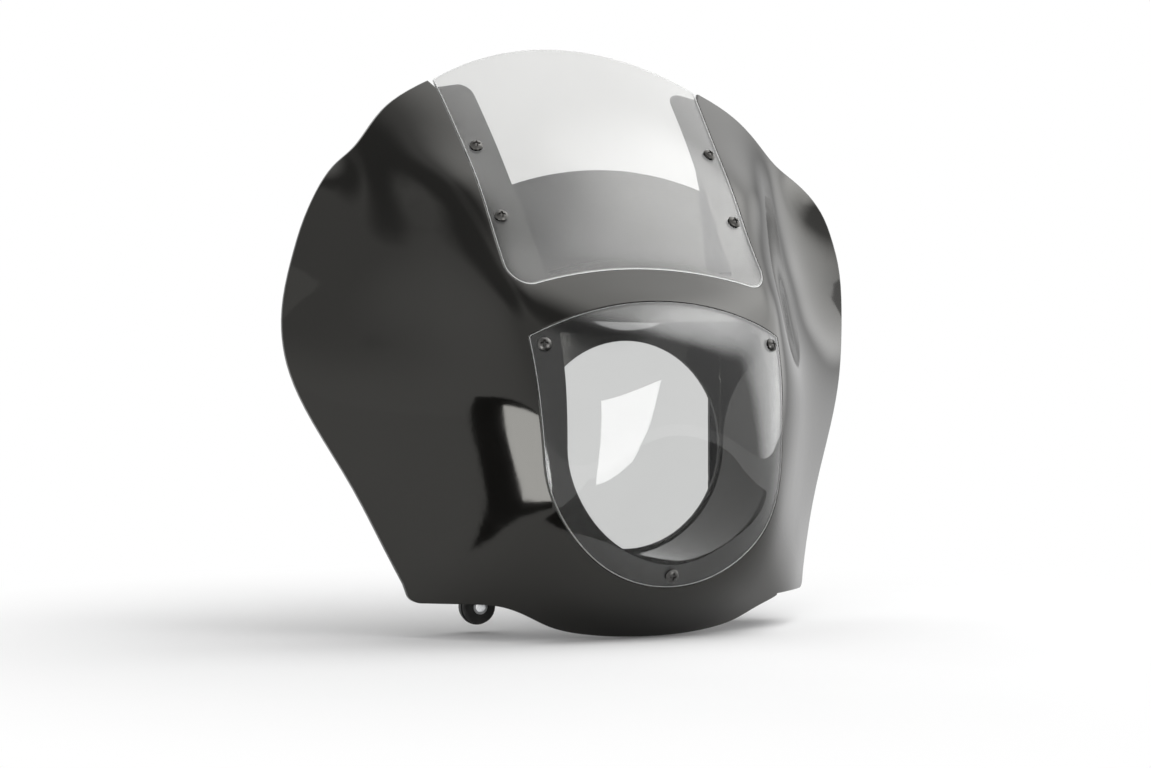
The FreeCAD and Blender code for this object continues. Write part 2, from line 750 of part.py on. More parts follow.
# The mounting brackets: a flat bar with an eye for a rubber mount at each end,
# a flat upper arm and a joggled lower arm
def draw_slot(sketch, start, end, width):
    """A slot with round ends; start and end hold a guess and an expression for each coordinate."""
    (ax, ay, ax_text, ay_text) = start
    (bx, by, bx_text, by_text) = end
    radius = width[0] / 2
    along = Vector(bx - ax, by - ay, 0)
    along.normalize()
    across = Vector(-along.y, along.x, 0) * radius
    a = Vector(ax, ay, 0)
    b = Vector(bx, by, 0)
    turn = math.atan2(across.y, across.x)
    axis = Vector(0, 0, 1)
    first = sketch.addGeometry(Part.LineSegment(a - across, b - across))
    far_end = sketch.addGeometry(Part.ArcOfCircle(Part.Circle(b, axis, radius), turn - math.pi, turn))
    second = sketch.addGeometry(Part.LineSegment(b + across, a + across))
    near_end = sketch.addGeometry(Part.ArcOfCircle(Part.Circle(a, axis, radius), turn, turn + math.pi))
    ring = [first, far_end, second, near_end]
    for i in range(len(ring)):
        sketch.addConstraint(Sketcher.Constraint("Tangent", ring[i - 1], 2, ring[i], 1))
    drive(sketch, Sketcher.Constraint("DistanceX", -1, 1, near_end, 3, ax), ax_text)
    drive(sketch, Sketcher.Constraint("DistanceY", -1, 1, near_end, 3, ay), ay_text)
    drive(sketch, Sketcher.Constraint("DistanceX", -1, 1, far_end, 3, bx), bx_text)
    drive(sketch, Sketcher.Constraint("DistanceY", -1, 1, far_end, 3, by), by_text)
    drive(sketch, Sketcher.Constraint("Radius", far_end, radius), width[1] + " / 2")


def mount_bracket():
    """The right-hand bracket, drawn in the front view with its faces square to Y."""
    body = doc.addObject("PartDesign::Body", "right_bracket")
    fork = size("fork_half_span")
    top = size("upper_mount_height")
    foot = -size("lower_mount_drop")
    back = "-(Sizes.bracket_face + Sizes.bracket_thick)"
    fork_text = "Sizes.fork_half_span"
    bar = sketch_on(body, "XZ_Plane", "BracketBar", back)
    draw_slot(bar, (fork, foot, fork_text, "-Sizes.lower_mount_drop"),
              (fork, top, fork_text, "Sizes.upper_mount_height"),
              (size("bracket_wide"), "Sizes.bracket_wide"))
    pad(body, bar, "Sizes.bracket_thick")
    eyes = sketch_on(body, "XZ_Plane", "BracketEyes", back)
    eye_radius = size("bracket_eye_dia") / 2
    draw_circle(eyes, fork_text, "Sizes.upper_mount_height", "Sizes.bracket_eye_dia", (fork, top, eye_radius))
    draw_circle(eyes, fork_text, "-Sizes.lower_mount_drop", "Sizes.bracket_eye_dia", (fork, foot, eye_radius))
    pad(body, eyes, "Sizes.bracket_thick")
    arm = sketch_on(body, "XZ_Plane", "BracketUpperArm", back)
    draw_slot(arm, (fork, UPPER_BOSS[1], fork_text, "Sizes.upper_boss_height"),
              (UPPER_BOSS[0], UPPER_BOSS[1], UPPER_BOSS_TEXT, "Sizes.upper_boss_height"),
              (size("arm_wide"), "Sizes.arm_wide"))
    pad(body, arm, "Sizes.bracket_thick")

    face = size("bracket_face")
    thick = size("bracket_thick")
    bend = size("joggle_start")
    run = size("joggle_run")
    drop = size("lower_joggle")
    end = LOWER_BOSS[0] + size("arm_wide") / 2
    face_text = "Sizes.bracket_face"
    back_text = "Sizes.bracket_face + Sizes.bracket_thick"
    low_text = "Sizes.bracket_face - Sizes.lower_joggle"
    low_back_text = "Sizes.bracket_face - Sizes.lower_joggle + Sizes.bracket_thick"
    bend_text = "Sizes.joggle_start"
    run_text = "Sizes.joggle_start + Sizes.joggle_run"
    end_text = LOWER_BOSS_TEXT + " + Sizes.arm_wide / 2"
    lower = sketch_on(body, "XY_Plane", "BracketLowerArm", "-Sizes.lower_boss_drop - Sizes.arm_wide / 2")
    draw_loop(lower, [
        (fork, face, fork_text, face_text),
        (bend, face, bend_text, face_text),
        (bend + run, face - drop, run_text, low_text),
        (end, face - drop, end_text, low_text),
        (end, face - drop + thick, end_text, low_back_text),
        (bend + run, face - drop + thick, run_text, low_back_text),
        (bend, face + thick, bend_text, back_text),
        (fork, face + thick, fork_text, back_text),
    ])
    lower_pad = pad(body, lower, "Sizes.arm_wide")
    corners = []
    for i, edge in enumerate(lower_pad.Shape.Edges):
        middle = edge.CenterOfMass
        if abs(middle.x - end) < 0.01 and abs(edge.BoundBox.YLength - thick) < 0.01:
            corners.append("Edge%d" % (i + 1))
    rounding = body.newObject("PartDesign::Fillet", "BracketLowerEnd")
    rounding.Base = (lower_pad, corners)
    rounding.setExpression("Radius", "Sizes.arm_wide / 2 - 1")
    doc.recompute()

    holes = sketch_on(body, "XZ_Plane", "BracketHoles", back)
    neck = "Sizes.grommet_neck_dia"
    bolt = "Sizes.bolt_hole_dia"
    draw_circle(holes, fork_text, "Sizes.upper_mount_height", neck, (fork, top, 10))
    draw_circle(holes, fork_text, "-Sizes.lower_mount_drop", neck, (fork, foot, 10))
    draw_circle(holes, UPPER_BOSS_TEXT, "Sizes.upper_boss_height", bolt, UPPER_BOSS + (3,))
    draw_circle(holes, LOWER_BOSS_TEXT, "-Sizes.lower_boss_drop", bolt, LOWER_BOSS + (3,))
    through = pocket_cut(body, holes, "4 * (Sizes.bracket_thick + Sizes.lower_joggle)")
    through.Midplane = True
    doc.recompute()
    return body


right_bracket = mount_bracket()
left_bracket = doc.addObject("Part::Mirroring", "left_bracket")
left_bracket.Source = right_bracket
left_bracket.Normal = Vector(1, 0, 0)
doc.recompute()

# What the brackets carry, and what holds them to the bosses
REARWARD = Rotation(Vector(0, 0, 1), Vector(0, 1, 0))


def along_y(places):
    """Placements whose local Z points to the rear, on both sides: (x, y, z) of the right side."""
    return [Placement(Vector(side * x, y, z), REARWARD) for x, y, z in places for side in (1, -1)]


def lifted(places, distance):
    return [(x, y + distance, z) for x, y, z in places]


bracket_middle = size("bracket_face") + size("bracket_thick") / 2
upper_mount = (size("fork_half_span"), bracket_middle, size("upper_mount_height"))
lower_mount = (size("fork_half_span"), bracket_middle, -size("lower_mount_drop"))
boss_seats = [(x, seat, z) for (x, z), seat in boss_ends]
bracket_back = lifted(boss_seats, size("bracket_thick"))

grommet = rubber_grommet()
sleeve = turned("MountSleeve", "Sizes.sleeve_dia", "Sizes.sleeve_long", "Sizes.sleeve_bore_dia")
insert_bore = "(Sizes.bolt_dia + 2 * Sizes.seat_gap)"
insert = turned("BossInsert", "Sizes.insert_dia", "Sizes.insert_long", insert_bore)
bolt_washer = turned("BoltWasher", "Sizes.bolt_washer_dia", "Sizes.bolt_washer_thick", "Sizes.bolt_hole_dia")
bolt = hex_bolt()
fasteners += [
    set_out("upper_grommets", grommet, along_y([upper_mount])),
    set_out("lower_grommets", grommet, along_y([lower_mount])),
    set_out("mount_sleeves", sleeve, along_y(lifted([upper_mount, lower_mount], -size("sleeve_long") / 2))),
    set_out("bracket_inserts", insert, along_y(lifted(boss_seats, -size("insert_long")))),
    set_out("bracket_washers", bolt_washer, along_y(bracket_back)),
    set_out("bracket_bolts", bolt, along_y(lifted(bracket_back, size("bolt_washer_thick")))),
]
doc.recompute()

# Every object must be sound before anything is written
for thing in doc.Objects:
    if "Invalid" in thing.State or "Error" in thing.State:
        raise RuntimeError("%s did not rebuild" % thing.Label)

nodes = [fairing_shell, windscreen, headlight_lens, right_bracket, left_bracket] + fasteners
os.makedirs("parts", exist_ok=True)
for node in nodes:
    if node.Shape.isNull() or not node.Shape.isValid():
        raise RuntimeError("%s is not a sound shape" % node.Label)
    node.Shape.exportStep("parts/%s.step" % node.Label)
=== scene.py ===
import math
from collections import namedtuple

import bpy
import numpy as np
from mathutils import Matrix, Vector


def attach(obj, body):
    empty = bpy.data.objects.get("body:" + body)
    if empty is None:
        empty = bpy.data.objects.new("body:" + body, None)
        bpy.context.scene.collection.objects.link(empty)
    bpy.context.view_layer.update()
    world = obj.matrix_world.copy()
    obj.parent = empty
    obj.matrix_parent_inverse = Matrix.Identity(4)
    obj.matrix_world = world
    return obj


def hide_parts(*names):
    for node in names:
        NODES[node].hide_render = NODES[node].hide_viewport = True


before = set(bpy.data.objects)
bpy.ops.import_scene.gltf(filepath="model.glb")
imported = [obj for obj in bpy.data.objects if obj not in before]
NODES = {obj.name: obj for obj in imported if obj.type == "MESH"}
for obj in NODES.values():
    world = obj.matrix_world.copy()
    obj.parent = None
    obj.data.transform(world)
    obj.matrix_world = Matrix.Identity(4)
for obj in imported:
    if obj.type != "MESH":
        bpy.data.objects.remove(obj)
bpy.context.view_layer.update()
MM = 0.001

# The moulding's skin, the same surface as in the solids, in millimetres.
# Sections from the chin upwards, each at one height: depth on the centre line, depth at the brow,
# then side and depth of the shoulder, of the valley beside it and of the rear rim.
BROW_SIDE = 100
SECTIONS = np.array([
    (-158, -33, -14, 120, -9, 152, 4, 192, 40),
    (-112, -76, -50, 120, -37, 152, -8, 184, 30),
    (-60, -84, -70, 119, -51, 158, -5, 204, 50),
    (0, -92, -74, 119, -57, 163, -6, 231, 70),
    (55, -90, -68.5, 119, -54.5, 163, -3.5, 257, 92),
    (95, -77, -54.5, 119, -43.5, 158, 8, 263, 98),
    (122, -53, -38.5, 119, -31, 159, 19, 261.5, 96),
    (150, -23, -15, 122, -8, 164, 35, 256.5, 92),
    (180, 0, 8.5, 134, 20.5, 173, 57, 246.5, 91),
    (212, 23.5, 32.5, 153, 52, 181, 79, 229.5, 95),
    (242, 47, 56.5, 164, 83, 190, 102, 215, 113),
    (290, 89, 99, 160, 120, 190, 135, 215, 147),
    (350, 148, 158, 160, 179, 190, 194, 215, 206),
])
WALL = 3
GLAZING = 3
PANEL_FOOT_HEIGHT = 142.5
PANEL_TOP_HEIGHT = 226
PANEL_FOOT_DEPTH = 16
PANEL_TOP_DEPTH = 1
SLOPE_STEP = 0.5


def natural_spline(xs, ys, x):
    """Cubic curves through rows of points, each read at one place, straight beyond their ends."""
    last = xs.shape[1] - 1
    gaps = np.diff(xs, axis=1)
    slopes = np.diff(ys, axis=1) / gaps
    bends = np.zeros(ys.shape)
    pivots = np.zeros(ys.shape)
    carried = np.zeros(ys.shape)
    for i in range(1, last):
        pivot = 2 * (gaps[:, i - 1] + gaps[:, i]) - gaps[:, i - 1] * pivots[:, i - 1]
        pivots[:, i] = gaps[:, i] / pivot
        turn = 6 * (slopes[:, i] - slopes[:, i - 1])
        carried[:, i] = (turn - gaps[:, i - 1] * carried[:, i - 1]) / pivot
    for i in range(last - 1, 0, -1):
        bends[:, i] = carried[:, i] - pivots[:, i] * bends[:, i + 1]
    inside = np.clip(x, xs[:, 0], xs[:, -1])
    span = np.clip((xs <= inside[:, None]).sum(axis=1) - 1, 0, last - 1)
    rows = np.arange(len(x))
    gap = gaps[rows, span]
    left = xs[rows, span + 1] - inside
    right = inside - xs[rows, span]
    bend_left = bends[rows, span]
    bend_right = bends[rows, span + 1]
    value = (bend_left * left ** 3 + bend_right * right ** 3) / (6 * gap)
    value += (ys[rows, span] / gap - bend_left * gap / 6) * left
    value += (ys[rows, span + 1] / gap - bend_right * gap / 6) * right
    low_slope = slopes[:, 0] - gaps[:, 0] * bends[:, 1] / 6
    high_slope = slopes[:, -1] + gaps[:, -1] * bends[:, last - 1] / 6
    return value + np.where(x > inside, high_slope, low_slope) * (x - inside)


def skin(x, z):
    """Depth of the outer skin at places in the front view."""
    count = len(x)
    heights, *values = [np.tile(column, (count, 1)) for column in SECTIONS.T]
    columns = [natural_spline(heights, value, z) for value in values]
    nose, brow, shoulder_x, shoulder_y, valley_x, valley_y, rim_x, rim_y = columns
    sides = np.stack([np.full(count, BROW_SIDE), shoulder_x, valley_x, rim_x], axis=1)
    depths = np.stack([brow, shoulder_y, valley_y, rim_y], axis=1)
    xs = np.hstack([-sides[:, ::-1], np.zeros((count, 1)), sides])
    ys = np.hstack([depths[:, ::-1], nose[:, None], depths])
    return natural_spline(xs, ys, x)


def slopes_of(surface, x, z):
    """How fast a surface's depth grows towards the right and upwards."""
    across = (surface(x + SLOPE_STEP, z) - surface(x - SLOPE_STEP, z)) / (2 * SLOPE_STEP)
    upward = (surface(x, z + SLOPE_STEP) - surface(x, z - SLOPE_STEP)) / (2 * SLOPE_STEP)
    return across, upward


def layer(x, z, depth_at):
    """Depth of a surface that lies under the skin by a distance for each height."""
    across, upward = slopes_of(skin, x, z)
    return skin(x, z) + depth_at(z) * np.sqrt(1 + across ** 2 + upward ** 2)


def layer_normals(x, z, depth_at):
    """Unit normals of such a surface, pointing out of the front."""
    across, upward = slopes_of(lambda a, b: layer(a, b, depth_at), x, z)
    normals = np.stack([across, -np.ones(len(x)), upward], axis=1)
    return normals / np.linalg.norm(normals, axis=1)[:, None]


def level(depth):
    """The same depth at every height."""
    return lambda z: depth


def panel_depth(z):
    """The panel behind the windscreen: deepest at its foot, and rising to the ledge at its top edge."""
    share = (PANEL_TOP_HEIGHT - z) / (PANEL_TOP_HEIGHT - PANEL_FOOT_HEIGHT)
    return GLAZING + PANEL_TOP_DEPTH + (PANEL_FOOT_DEPTH - PANEL_TOP_DEPTH) * share


# The surfaces that follow the skin; the back of the plain wall lies as deep as the ledges do
SHEET_LAYERS = {
    "skin": level(0),
    "ledge": level(GLAZING),
}
SHELL_LAYERS = {
    "skin": level(0),
    "ledge": level(GLAZING),
    "ledge_back": level(GLAZING + WALL),
    "panel": panel_depth,
    "panel_back": lambda z: panel_depth(z) + WALL,
}

# Pieces whose broad faces follow the skin are shaded by it, so that reflections run smoothly
LAYER_TOLERANCE = 1.3
LEAST_FACING = 0.35
WELD_DIGITS = 4
# A face of a solid: the layer it lies on, if any, how far it looks to the rear, places and normals
Face = namedtuple("Face", "layer facing x y z normals")


def cad_arrays(node):
    """Corner places in millimetres, triangles and corner normals of a solid's mesh."""
    mesh = NODES[node].data
    points = np.empty(3 * len(mesh.vertices))
    mesh.vertices.foreach_get("co", points)
    corners = np.empty(len(mesh.loops), dtype=np.int64)
    mesh.loops.foreach_get("vertex_index", corners)
    normals = np.empty(3 * len(mesh.loops))
    mesh.corner_normals.foreach_get("vector", normals)
    return points.reshape(-1, 3) / MM, corners.reshape(-1, 3), normals.reshape(-1, 3, 3)


def face_groups(count, triangles):
    """Lists of triangles that hang together by shared corners: one list for each face of the solid."""
    parent = list(range(count))

    def root(i):
        while parent[i] != i:
            parent[i] = parent[parent[i]]
            i = parent[i]
        return i

    for a, b, c in triangles:
        top = root(a)
        parent[root(b)] = top
        parent[root(c)] = top
    groups = {}
    for index, triangle in enumerate(triangles):
        groups.setdefault(root(triangle[0]), []).append(index)
    return [np.array(group) for group in groups.values()]


def follow_skin(node, layers, material_of):
    """The solid's faces with the normals of the layer each one lies on, and its material's number."""
    points, triangles, normals = cad_arrays(node)
    parts = []
    for group in face_groups(len(points), triangles):
        used = np.unique(triangles[group])
        x, y, z = points[used].T
        errors = {name: np.abs(layer(x, z, depth_at) - y).max() for name, depth_at in layers.items()}
        best = min(errors, key=errors.get)
        facing = normals[group][:, :, 1].mean()
        shading = normals[group]
        if errors[best] < LAYER_TOLERANCE and abs(facing) > LEAST_FACING:
            outward = np.zeros(points.shape)
            outward[used] = layer_normals(x, z, layers[best]) * -np.sign(facing)
            shading = outward[triangles[group]]
        else:
            best = None
        face = Face(best, facing, x, y, z, normals[group])
        parts.append((points, triangles[group], shading, material_of(face)))
    return parts


def welded_mesh(name, parts):
    """One mesh from several faces, joined where their borders meet."""
    numbers = {}
    places = []
    faces = []
    corner_normals = []
    material_numbers = []
    for points, triangles, normals, material_number in parts:
        for triangle, triangle_normals in zip(triangles, normals):
            corners = []
            for index in triangle:
                key = tuple(np.round(points[index], WELD_DIGITS))
                if key not in numbers:
                    numbers[key] = len(places)
                    places.append(points[index] * MM)
                corners.append(numbers[key])
            if len(set(corners)) == 3:
                faces.append(corners)
                corner_normals.extend(triangle_normals)
                material_numbers.append(material_number)
    mesh = bpy.data.meshes.new(name)
    mesh.from_pydata(places, [], faces)
    mesh.polygons.foreach_set("material_index", material_numbers)
    mesh.polygons.foreach_set("use_smooth", [True] * len(faces))
    mesh.normals_split_custom_set([tuple(n) for n in corner_normals])
    return mesh


def add_object(name, data):
    """An object in the scene that shows a mesh, a light or a camera."""
    thing = bpy.data.objects.new(name, data)
    bpy.context.scene.collection.objects.link(thing)
    return thing


def add_piece(name, mesh, materials, node):
    """A piece that stands for a solid."""
    piece = add_object(name, mesh)
    for material in materials:
        mesh.materials.append(material)
    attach(piece, "root")
    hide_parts(node)


# Materials
NOISE_LOW = 0.3
NOISE_HIGH = 0.7
MOULDING_IOR = 1.5
CLEAR_IOR = 1.49
EDGE_WIDTH = 0.0013
EDGE_STARTS = 0.99
EDGE_IS_FULL = 0.92


def new_material(name):
    """A material with its node tree and its shader."""
    material = bpy.data.materials.new(name)
    material.use_nodes = True
    tree = material.node_tree
    return material, tree, tree.nodes["Principled BSDF"]


def noise(tree, scale, detail=4.0):
    """Noise over the object's own coordinates, in features per metre."""
    where = tree.nodes.new("ShaderNodeTexCoord")
    texture = tree.nodes.new("ShaderNodeTexNoise")
    texture.inputs["Scale"].default_value = scale
    texture.inputs["Detail"].default_value = detail
    tree.links.new(where.outputs["Object"], texture.inputs["Vector"])
    return texture.outputs["Fac"]


def vary(tree, source, socket, low, high):
    """Lets a number on the shader follow a texture between two values."""
    spread = tree.nodes.new("ShaderNodeMapRange")
    spread.inputs["From Min"].default_value = NOISE_LOW
    spread.inputs["From Max"].default_value = NOISE_HIGH
    spread.inputs["To Min"].default_value = low
    spread.inputs["To Max"].default_value = high
    tree.links.new(source, spread.inputs["Value"])
    tree.links.new(spread.outputs["Result"], socket)


def tint(tree, source, socket, dark, light):
    """Lets the colour follow a texture between two colours."""
    ramp = tree.nodes.new("ShaderNodeValToRGB")
    ramp.color_ramp.elements[0].position = NOISE_LOW
    ramp.color_ramp.elements[0].color = (*dark, 1)
    ramp.color_ramp.elements[1].position = NOISE_HIGH
    ramp.color_ramp.elements[1].color = (*light, 1)
    tree.links.new(source, ramp.inputs["Fac"])
    tree.links.new(ramp.outputs["Color"], socket)


def bumps(tree, source, shader, distance, strength):
    """Lets the surface rise and fall with a texture."""
    bump = tree.nodes.new("ShaderNodeBump")
    bump.inputs["Distance"].default_value = distance
    bump.inputs["Strength"].default_value = strength
    tree.links.new(source, bump.inputs["Height"])
    tree.links.new(bump.outputs["Normal"], shader.inputs["Normal"])
    return bump


def soft_edges(tree, socket, radius):
    """Lets the edges catch light as if they were rounded a little."""
    rounding = tree.nodes.new("ShaderNodeBevel")
    rounding.samples = 8
    rounding.inputs["Radius"].default_value = radius
    tree.links.new(rounding.outputs["Normal"], socket)


def edge_share(tree, radius):
    """One at the sharp edges of a piece, and nought away from them."""
    facing = tree.nodes.new("ShaderNodeNewGeometry")
    bend = tree.nodes.new("ShaderNodeVectorMath")
    bend.operation = "DOT_PRODUCT"
    soft_edges(tree, bend.inputs[0], radius)
    share = tree.nodes.new("ShaderNodeMapRange")
    share.inputs["From Min"].default_value = EDGE_STARTS
    share.inputs["From Max"].default_value = EDGE_IS_FULL
    tree.links.new(facing.outputs["Normal"], bend.inputs[1])
    tree.links.new(bend.outputs["Value"], share.inputs["Value"])
    return share.outputs["Result"]


def mixed(tree, share, first, second):
    """A blend of two shaders."""
    blend = tree.nodes.new("ShaderNodeMixShader")
    tree.links.new(share, blend.inputs["Fac"])
    tree.links.new(first, blend.inputs[1])
    tree.links.new(second, blend.inputs[2])
    return blend.outputs["Shader"]


def gloss_black():
    """Polished black moulding: almost no colour of its own, soft sheen with a trace of orange peel."""
    material, tree, shader = new_material("gloss_black")
    shader.inputs["IOR"].default_value = MOULDING_IOR
    shader.inputs["Specular Tint"].default_value = (1.0, 0.985, 0.93, 1)
    tint(tree, noise(tree, 9), shader.inputs["Base Color"],
         (0.0042, 0.0040, 0.0036), (0.0064, 0.0061, 0.0056))
    vary(tree, noise(tree, 35), shader.inputs["Roughness"], 0.05, 0.08)
    bump = bumps(tree, noise(tree, 240, 2), shader, 0.0004, 0.02)
    soft_edges(tree, bump.inputs["Normal"], 0.0015)
    return material


def rear_black():
    """The unpolished back of the moulding, with a fine grain."""
    material, tree, shader = new_material("rear_black")
    shader.inputs["IOR"].default_value = MOULDING_IOR
    tint(tree, noise(tree, 25), shader.inputs["Base Color"],
         (0.013, 0.013, 0.0125), (0.022, 0.0215, 0.021))
    vary(tree, noise(tree, 60), shader.inputs["Roughness"], 0.42, 0.58)
    bumps(tree, noise(tree, 900, 3), shader, 0.0003, 0.25)
    return material


def clear_plastic(name, colour):
    """Clear sheet with a faint, uneven smoke tint and a painted highlight along its edges, which lets
    shadow rays through.
    """
    material, tree, shader = new_material(name)
    deeper = tuple(0.97 * part for part in colour)
    tint(tree, noise(tree, 8), shader.inputs["Base Color"], deeper, colour)
    shader.inputs["IOR"].default_value = CLEAR_IOR
    shader.inputs["Transmission Weight"].default_value = 1.0
    shader.inputs["Roughness"].default_value = 0.0
    # Painted highlight: an opaque pale band along the sheet's edges stands in for the light that
    # rounded, polished edges catch.
    painted_edge_highlight = tree.nodes.new("ShaderNodeBsdfPrincipled")
    painted_edge_highlight.inputs["Base Color"].default_value = (0.82, 0.83, 0.82, 1)
    painted_edge_highlight.inputs["Roughness"].default_value = 0.25
    see_through = tree.nodes.new("ShaderNodeBsdfTransparent")
    see_through.inputs["Color"].default_value = (*colour, 1)
    light_path = tree.nodes.new("ShaderNodeLightPath")
    with_edge_highlight = mixed(tree, edge_share(tree, EDGE_WIDTH), shader.outputs["BSDF"], painted_edge_highlight.outputs["BSDF"])
    surface = mixed(tree, light_path.outputs["Is Shadow Ray"], with_edge_highlight, see_through.outputs["BSDF"])
    tree.links.new(surface, tree.nodes["Material Output"].inputs["Surface"])
    return material


def cut_edge():
    """The sawn and polished edge of a clear sheet, painted pale to stand in for the light carried
    inside the sheet.
    """
    material, tree, shader = new_material("cut_edge")
    shader.inputs["IOR"].default_value = CLEAR_IOR
    shader.inputs["Transmission Weight"].default_value = 0.45
    tint(tree, noise(tree, 150), shader.inputs["Base Color"], (0.78, 0.80, 0.79), (0.90, 0.91, 0.90))
    vary(tree, noise(tree, 400), shader.inputs["Roughness"], 0.15, 0.3)
    return material


def metal(name, dark, light, smooth, rough, grain):
    """Bare, plated or coated metal with uneven sheen."""
    material, tree, shader = new_material(name)
    shader.inputs["Metallic"].default_value = 1.0
    tint(tree, noise(tree, grain), shader.inputs["Base Color"], dark, light)
    vary(tree, noise(tree, 3 * grain), shader.inputs["Roughness"], smooth, rough)
    bumps(tree, noise(tree, 6 * grain, 2), shader, 0.0002, 0.15)
    return material


def coated_black():
    """Satin black powder coat on the brackets."""
    material, tree, shader = new_material("coated_black")
    tint(tree, noise(tree, 70), shader.inputs["Base Color"],
         (0.012, 0.012, 0.012), (0.022, 0.022, 0.022))
    vary(tree, noise(tree, 120), shader.inputs["Roughness"], 0.32, 0.48)
    bumps(tree, noise(tree, 1100, 2), shader, 0.0003, 0.3)
    return material


def black_rubber():
    """Dull black rubber of the mounts."""
    material, tree, shader = new_material("black_rubber")
    tint(tree, noise(tree, 120), shader.inputs["Base Color"],
         (0.010, 0.010, 0.010), (0.026, 0.025, 0.024))
    vary(tree, noise(tree, 200), shader.inputs["Roughness"], 0.55, 0.8)
    bumps(tree, noise(tree, 1500, 3), shader, 0.0003, 0.3)
    return material


shell_front = gloss_black()
shell_rear = rear_black()
screen_clear = clear_plastic("screen_clear", (0.60, 0.60, 0.59))
# Partly painted shade: besides a faint smoke, the lens's grey tint stands in for the shade on the
# backdrop seen through the headlight hole.
lens_clear = clear_plastic("lens_clear", (0.62, 0.625, 0.62))
sheet_edge = cut_edge()
dark_steel = metal("dark_steel", (0.07, 0.068, 0.065), (0.13, 0.127, 0.12), 0.28, 0.42, 300)
bright_steel = metal("bright_steel", (0.06, 0.059, 0.057), (0.11, 0.108, 0.104), 0.26, 0.40, 300)
zinc = metal("zinc", (0.52, 0.53, 0.54), (0.66, 0.67, 0.68), 0.25, 0.42, 200)
brass = metal("brass", (0.60, 0.43, 0.19), (0.72, 0.54, 0.26), 0.22, 0.38, 260)
bracket_black = coated_black()
rubber = black_rubber()

# The moulding and the two clear sheets; the numbers are places in each piece's list of materials
POLISHED = 0
UNPOLISHED = 1
CLEAR = 0
CUT = 1
REAR_DEPTH = 7
REAR_FACING = 0.5
SHEET_CLEARANCE = 0.3


def outward_share(face):
    """How far a face looks away from the axis of the headlight hole."""
    sides = np.array([face.x.mean(), face.z.mean()])
    looks = face.normals.reshape(-1, 3)[:, [0, 2]].mean(axis=0)
    return float(sides @ looks)


def shell_material(face):
    """Polished on the front and the edges, unpolished where a face only shows from behind."""
    if face.layer == "skin":
        return POLISHED
    if face.layer:
        return UNPOLISHED if face.facing > 0 else POLISHED
    deep = (face.y - skin(face.x, face.z)).mean() > REAR_DEPTH
    behind = deep and (face.facing > REAR_FACING or outward_share(face) > 0)
    return UNPOLISHED if behind else POLISHED


def sheet_material(face):
    """Clear on the two broad faces, cut on the edges."""
    return CLEAR if face.layer else CUT


def clear_of_ledge(points):
    """A sheet's places with its back drawn off the ledge by a hair, so that the two do not touch."""
    x, y, z = points.T
    front = skin(x, z)
    share = np.clip((y - front) / (layer(x, z, level(GLAZING)) - front), 0, 1)
    return np.stack([x, y - SHEET_CLEARANCE * share, z], axis=1)


shell_parts = follow_skin("fairing_shell", SHELL_LAYERS, shell_material)
shell_mesh = welded_mesh("half_fairing_shell", shell_parts)
add_piece("half_fairing_shell", shell_mesh, [shell_front, shell_rear], "fairing_shell")
for node, clear in (("windscreen", screen_clear), ("headlight_lens", lens_clear)):
    sheet_parts = [(clear_of_ledge(points), *rest)
                   for points, *rest in follow_skin(node, SHEET_LAYERS, sheet_material)]
    sheet_mesh = welded_mesh("clear_" + node, sheet_parts)
    add_piece("clear_" + node, sheet_mesh, [clear, sheet_edge], node)

# Turned pieces: a profile of (radius, height) pairs spun round local Z, set at each place
SHARP_ANGLE = 50


def spun(profile, segments, reshape=None):
    """Corner places and faces of a closed profile spun round local Z."""
    rings = len(profile)
    points = []
    for step in range(segments):
        turn = 2 * math.pi * step / segments
        for radius, height in profile:
            place = Vector((radius * math.cos(turn), radius * math.sin(turn), height))
            points.append(reshape(place) if reshape else place)
    faces = []
    for step in range(segments):
        here = step * rings
        after = (step + 1) % segments * rings
        for ring in range(rings):
            beyond = (ring + 1) % rings
            faces.append((here + ring, after + ring, after + beyond, here + beyond))
    return points, faces


def set_out(name, pattern, placements):
    """One mesh made of equal copies, each at its own placement."""
    points, faces = pattern
    places = []
    polygons = []
    for placement in placements:
        start = len(places)
        places += [placement @ point * MM for point in points]
        polygons += [tuple(start + i for i in face) for face in faces]
    mesh = bpy.data.meshes.new(name)
    mesh.from_pydata(places, [], polygons)
    mesh.validate()
    mesh.polygons.foreach_set("use_smooth", [True] * len(mesh.polygons))
    mesh.set_sharp_from_angle(angle=math.radians(SHARP_ANGLE))
    return mesh


# Screws, in millimetres: a domed head with a cross recess, and a shank that is plain and then threaded
SCREW_SEGMENTS = 80
AXIS_RADIUS = 0.02
HEAD_RADIUS = 5.5
HEAD_HIGH = 3.0
HEAD_RINGS = 26
HEAD_RIM_HIGH = 0.3
HEAD_RIM_CUT = 0.25
DOME_POWER = 2.6
DOME_FALL = 0.72
SCREW_RADIUS = 2.5
SCREW_LONG = 14
PLAIN_SHANK = 4
THREAD_PITCH = 0.8
THREAD_DEEP = 0.3
SLOT_HALF_LONG = 2.8
SLOT_HALF_WIDE = 0.7
SLOT_DEEP = 1.6
SLOT_SIDE_MARGIN = 0.2
SLOT_SIDE_SLOPE = 0.25
SLOT_END_MARGIN = 0.3
SLOT_END_SLOPE = 0.8
RECESS_LOWEST = 0.5
SEAT_GAP = 0.05
SCREEN_SCREWS = [(108.3, 245), (-108.3, 245), (106.4, 185), (-106.4, 185)]
LENS_SCREWS = [(101.3, 81.7), (-101.3, 81.7), (0, -101)]


